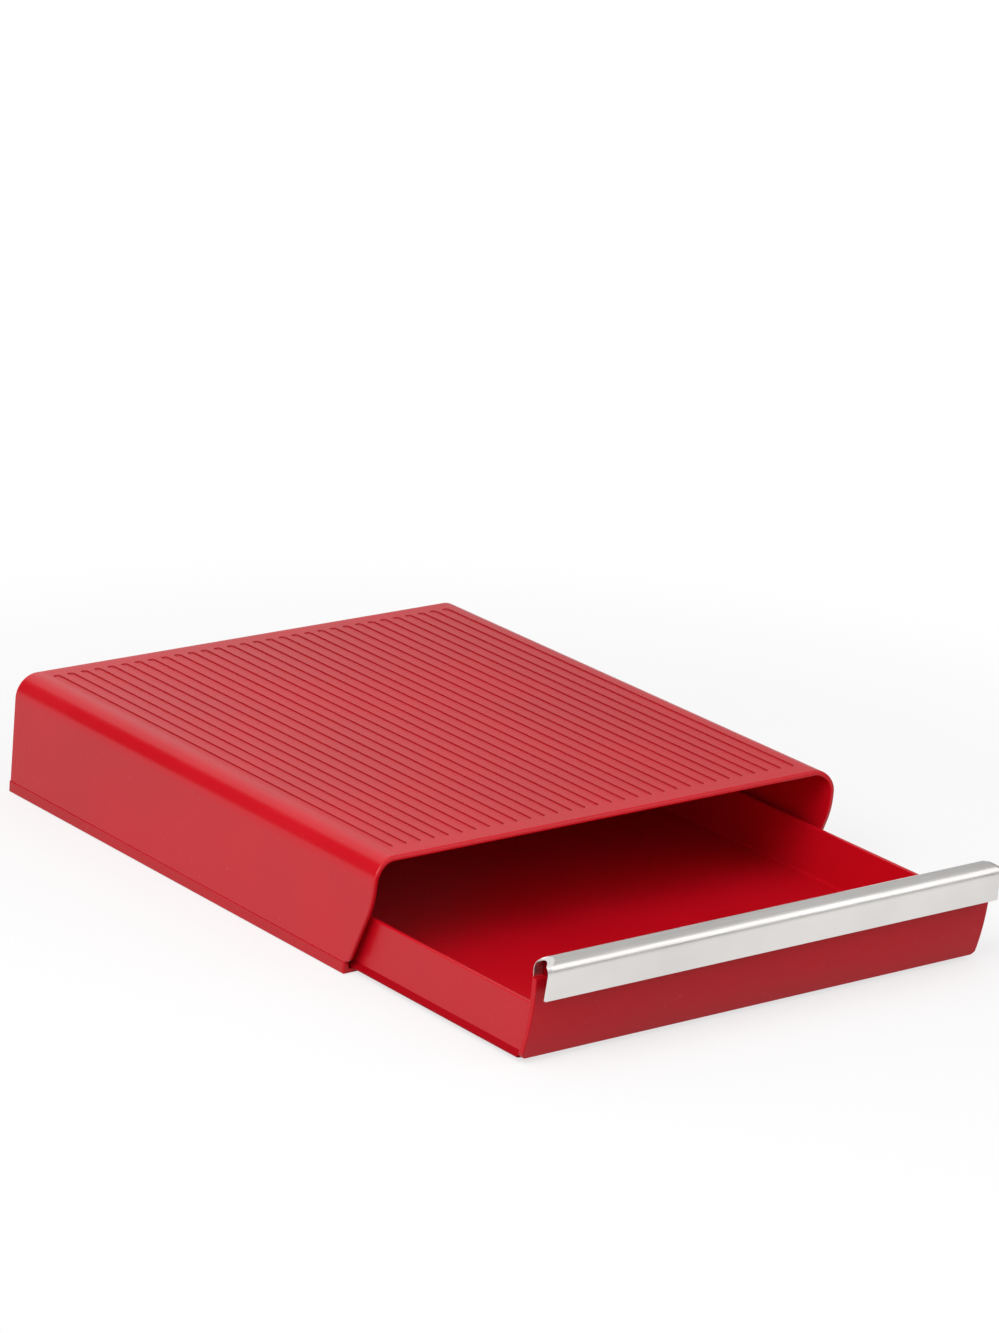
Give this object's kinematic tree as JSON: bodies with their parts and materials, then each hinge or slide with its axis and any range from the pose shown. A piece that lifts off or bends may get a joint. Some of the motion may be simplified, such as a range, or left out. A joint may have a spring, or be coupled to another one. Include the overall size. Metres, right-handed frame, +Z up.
{
  "type": "coffee pod drawer",
  "caption": "Low flat-topped housing with rounded side edges and a shallow sliding drawer for coffee pods, pulled by a folded metal strip; a coffee machine can stand on top.",
  "frame": {"origin": "on the table, under the middle of the whole object's bounding box with the drawer open as in the picture", "axes": "+X to the right when facing the front, +Y to the back (the drawer opens towards -Y), +Z up"},
  "size_m": [0.2738, 0.4194, 0.0597],
  "materials": {
    "cover_plastic": "satin",
    "drawer_plastic": "satin",
    "clip_plastic": "matte",
    "foot_rubber": "matte",
    "strip_metal": "satin"
  },
  "bodies": {
    "housing": {"cover_shell": "cover_plastic", "rail_left": "cover_plastic", "rail_right": "cover_plastic", "tie_bar": "cover_plastic", "back_panel": "cover_plastic", "rubber_feet": "foot_rubber", "drawer_stops": "clip_plastic"},
    "drawer": {"drawer_tray": "drawer_plastic", "drawer_front": "drawer_plastic", "handle_strip": "strip_metal", "handle_clips": "clip_plastic"}
  },
  "joints": [
    {"name": "drawer_slide", "type": "slide", "parent": "housing", "child": "drawer", "axis": [0, -1, 0], "range_m": [-0.115, 0.09]}
  ]
}
